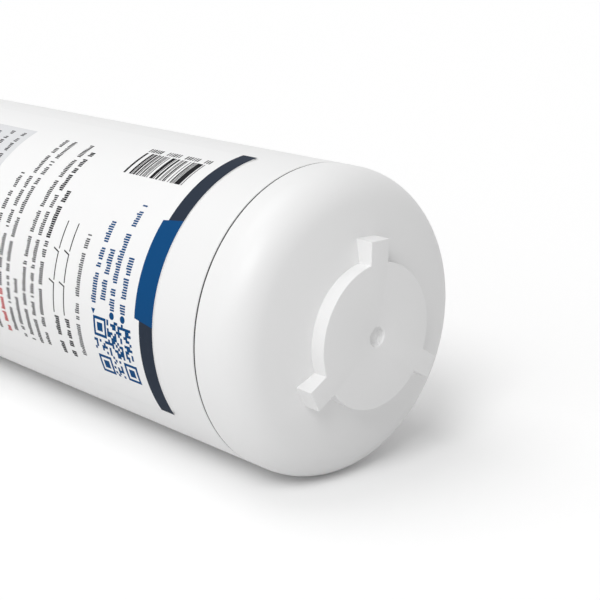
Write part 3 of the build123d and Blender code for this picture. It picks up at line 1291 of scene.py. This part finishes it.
    def print_marks(self) -> None:
        """Print the small marks that lead the coloured rows, and the slashes of the date rules."""
        radius = self.mark_size / 2
        marks = []
        for distance, corners in self.mark_corners:
            centre = self.spot(distance + radius, self.mark_angle)
            marks.append([arc(centre, radius, -QUARTER, math.tau - QUARTER, corners)[1:]])
        self.add_print("label_marks", marks, Ink.BLUE)
        lean = self.degrees(self.slash_height * self.slash_lean)
        half_line = self.degrees(self.rule_width / 2)
        slashes = []
        for foot in self.rule_distances:
            head = foot + self.slash_height
            for before, after in zip(self.rule_spans, self.rule_spans[1:]):
                middle = (before[1] + after[0]) / 2
                line = [(foot, middle + lean), (head, middle - lean)]
                upper = [self.spot(distance, angle - half_line) for distance, angle in line]
                lower = [self.spot(distance, angle + half_line) for distance, angle in reversed(line)]
                slashes.append([upper + lower])
        self.add_print("label_slashes", slashes, Ink.BLACK)

    def print_bars(self) -> None:
        """Print a plain pattern of bars with a row of short blocks beside it."""
        bars = self.bars
        length = self.barrel.radius * math.radians(bars.end - bars.start)
        pattern = Blocks(self.bar_module, self.bar_module, length, self.bar_seed, cuts=self.bar_cuts)
        rows = {
            "label_bars": ((bars.start + bars.end) / 2, pattern),
            "label_bar_row": (self.bar_row_angle, self.bar_row),
        }
        for name, (angle, blocks) in rows.items():
            line = (self.spot(bars.near, angle), self.spot(bars.far, angle))
            self.add_blocks(name, [line], Ink.BLACK, blocks)

    def cell_spot(self, column: float, row: float) -> Point:
        """Flat place of a point of the patch, counted in cells from its nearest corner."""
        angle = self.patch_start + row * self.degrees(self.patch_cell)
        return self.spot(self.patch_near + column * self.patch_cell, angle)

    def framed_corner(self, column: int, row: int) -> list[Shape]:
        """Shapes of one framed corner of the patch.

        Args:
            column: Its first column.
            row: Its first row.

        Returns:
            Its frame of one cell's width, and the square inside.
        """
        squares = []
        for inset in (0, 1, self.patch_inset):
            size = self.patch_frame - 2 * inset
            ends = ((0, 0), (size, 0), (size, size), (0, size))
            spots = [self.cell_spot(column + inset + across, row + inset + down) for across, down in ends]
            squares.append(spots)
        return [squares[:2], squares[2:]]

    def print_patch(self) -> None:
        """Print a square patch of scattered cells with three framed corners."""
        cells = range(self.patch_cells)
        frame = self.patch_frame
        last = self.patch_cells - frame
        corners = ((last, 0), (last, last), (0, last))
        lines = []
        for column in cells:
            beside = [r for c, r in corners if c - 1 <= column <= c + frame]
            free = [row for row in cells if not any(r - 1 <= row <= r + frame for r in beside)]
            start = self.cell_spot(column + 0.5, free[0] + 0.5)
            lines.append((start, self.cell_spot(column + 0.5, free[-1] + 0.5)))
        size = self.patch_fill * self.patch_cell
        blocks = Blocks(self.patch_cell, size, size, self.patch_seed)
        self.add_blocks("label_patch_cells", lines, Ink.BLUE, blocks)
        frames = [shape for corner in corners for shape in self.framed_corner(*corner)]
        self.add_print("label_patch_frames", frames, Ink.BLUE)

    def print_rows(self) -> None:
        """Print every group of small-print rows."""
        plain_lines = self.upper_lines + self.lower_lines
        groups = (
            Rows(Ink.BLUE, self.leading_lines, height=2.3, pitch=0.66, seed=3, weight=0.68, run=20.0),
            Rows(Ink.GREY, self.note_lines, height=1.9, pitch=0.58, seed=5),
            Rows(Ink.BLACK, self.bold_lines, height=2.2, pitch=0.62, seed=7, weight=0.74, run=20.0),
            Rows(Ink.BLACK, plain_lines, height=1.95, pitch=0.58, seed=11),
            Rows(Ink.RED, self.red_lines, height=2.2, pitch=0.62, seed=13, weight=0.74, run=24.0),
            Rows(Ink.BLACK, self.table_lines, height=1.9, pitch=0.58, seed=17, run=10.0),
        )
        for number, rows in enumerate(groups, 1):
            lines = [(self.spot(d * MM, start), self.spot(d * MM, end)) for d, start, end in rows.lines]
            self.add_blocks(f"label_rows_{number}", lines, rows.ink, rows.blocks())

    def build(self) -> None:
        """Make the film and its print."""
        heights = (0.0, self.film_height)
        self.add_plates("label_film", [[self.film_outline()]], self.finish, heights, ["label"])
        self.print_fields()
        self.print_marks()
        self.print_bars()
        self.print_patch()
        self.print_rows()


@dataclass
class Solids:
    """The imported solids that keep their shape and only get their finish."""

    nodes: Mapping[str, bpy.types.Object]
    finishes: Finishes

    def dress(self) -> None:
        """Give each solid that stays its finish."""
        finishes = self.finishes
        groups = (
            (finishes.barrel, ("barrel",)),
            (finishes.shell, ("top_cap",)),
            (finishes.seal, ("neck_seal", "nose_seal", "spigot_seal")),
            (finishes.element_cap, ("element_top_cap", "element_bottom_cap")),
            (finishes.carbon, ("carbon_block",)),
            (finishes.wrap, ("inner_wrap", "outer_wrap")),
            (finishes.net, ("outer_net",)),
        )
        for finish, names in groups:
            material = finish.material()
            for name in names:
                self.nodes[name].data.materials.clear()
                self.nodes[name].data.materials.append(material)
                LOG.info("solid %s: %s", name, material.name)


def bearing(azimuth: float, elevation: float) -> Vector:
    """Direction from the cartridge to a camera or a lamp.

    Args:
        azimuth: Angle from the -Y side towards +X, in degrees.
        elevation: Angle above the floor, in degrees.

    Returns:
        The direction, one long.
    """
    turn = math.radians(azimuth)
    rise = math.radians(elevation)
    flat = math.cos(rise)
    return Vector((math.sin(turn) * flat, -math.cos(turn) * flat, math.sin(rise)))


@dataclass
class PhotoCamera:
    """The camera of the photograph, placed by where it sees the middle of the drive end's seam."""

    barrel: Barrel
    azimuth: float = 46.11
    elevation: float = 16.307
    focal_pixels: float = 1382.3
    seam_right: float = 3.664 * MM
    seam_down: float = 4.669 * MM
    seam_distance: float = 361.75 * MM
    sensor: float = 36.0
    nearest: float = 10 * MM

    def build(self) -> None:
        """Make the camera and look through it."""
        back = bearing(self.azimuth, self.elevation)
        right = Vector((*turned(1.0, 0.0, math.radians(self.azimuth)), 0.0))
        up = back.cross(right)
        seam = Vector((self.barrel.pad_seam, 0.0, self.barrel.axis_height))
        place = seam - right * self.seam_right + up * self.seam_down + back * self.seam_distance
        data = bpy.data.cameras.new("photo_camera")
        data.sensor_width = self.sensor
        data.lens = self.focal_pixels * self.sensor / IMAGE_PIXELS
        data.clip_start = self.nearest
        camera = placed("photo_camera", data)
        camera.matrix_world = Matrix.Translation(place) @ Matrix((right, up, back)).transposed().to_4x4()
        bpy.context.scene.camera = camera


@dataclass(frozen=True)
class SoftLight:
    """A wide light from far away, even over the whole floor, with its angles in degrees."""

    name: str
    azimuth: float
    elevation: float
    level: float
    spread: float

    def build(self) -> None:
        """Make the lamp, which lights a white surface that faces it to its level."""
        data = bpy.data.lights.new(self.name, "SUN")
        data.energy = self.level * math.pi
        data.angle = math.radians(self.spread)
        source = bearing(self.azimuth, self.elevation)
        placed(self.name, data).matrix_world = (-source).to_track_quat("-Z", "Y").to_matrix().to_4x4()


@dataclass
class Studio:
    """White floor, white background and soft light."""

    floor_size: float = 12.0
    floor_shown: float = 1.0
    floor_lighting: float = 0.8
    floor_glow: float = 0.06
    floor_roughness: float = 0.9
    background: float = 1.0
    sky: float = 0.435
    lights: tuple[SoftLight, ...] = (
        SoftLight("side_light", azimuth=-55.0, elevation=66.0, level=0.22, spread=40.0),
        SoftLight("front_light", azimuth=0.0, elevation=30.0, level=0.11, spread=40.0),
        SoftLight("end_light", azimuth=26.0, elevation=44.0, level=0.355, spread=25.0),
    )

    def build(self) -> None:
        """Make the floor, the background and the lights."""
        bpy.context.scene.view_settings.view_transform = "Standard"
        self._floor()
        self._world()
        for light in self.lights:
            light.build()

    @staticmethod
    def seen(graph: Graph) -> Value:
        """Tell what the camera sees, straight, in a mirror or through glass, from what only gives light.

        Args:
            graph: The tree to add the nodes to.

        Returns:
            One for what is seen, and zero for light.
        """
        path = graph.node("ShaderNodeLightPath")
        names = ("Is Camera Ray", "Is Glossy Ray", "Is Transmission Ray")
        camera, glossy, through = (Value(graph, path.outputs[name]) for name in names)
        return camera | glossy | through

    def _floor(self) -> None:
        """Make a wide pale floor that keeps the shadow and shows white where nothing shades it."""
        builder = MeshBuilder("floor")
        bmesh.ops.create_grid(builder.draft, x_segments=1, y_segments=1, size=self.floor_size / 2)
        floor = placed("floor", builder.mesh())
        graph = MaterialGraph("floor_white")
        seen = self.seen(graph)
        shade = self.floor_lighting + seen * (self.floor_shown - self.floor_lighting)
        sockets = {
            "Base Color": graph.neutral(shade),
            "Roughness": self.floor_roughness,
            "Specular IOR Level": 0.0,
            "Emission Color": graph.neutral(seen * self.floor_glow),
            "Emission Strength": 1.0,
        }
        floor.data.materials.append(graph.dress(sockets))

    def _world(self) -> None:
        """Make an even sky for light, and plain white for what the camera sees."""
        world = bpy.data.worlds.new("studio")
        bpy.context.scene.world = world
        world.use_nodes = True
        graph = Graph(world.node_tree)
        world.node_tree.nodes.clear()
        strength = self.sky + self.seen(graph) * (self.background - self.sky)
        sky = graph.value("ShaderNodeBackground", {}, {"Color": grey(1.0), "Strength": strength})
        graph.node("ShaderNodeOutputWorld", {}, {"Surface": sky})


def main() -> None:
    """Build the cartridge's looks in order."""
    logging.basicConfig(level=logging.INFO, format="%(name)s: %(message)s")
    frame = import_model()
    finishes = Finishes()
    barrel = Barrel.from_frame()
    PhotoCamera(barrel).build()
    Studio().build()
    Solids(frame["nodes"], finishes).dress()
    drive_cap = DriveCap(barrel, finishes.shell)
    drive_cap.build()
    SeamShadeLines(barrel, finishes.weld, drive_cap.seam_gap).build()
    Label(barrel, finishes.film).build()


if __name__ == "__main__":
    main()
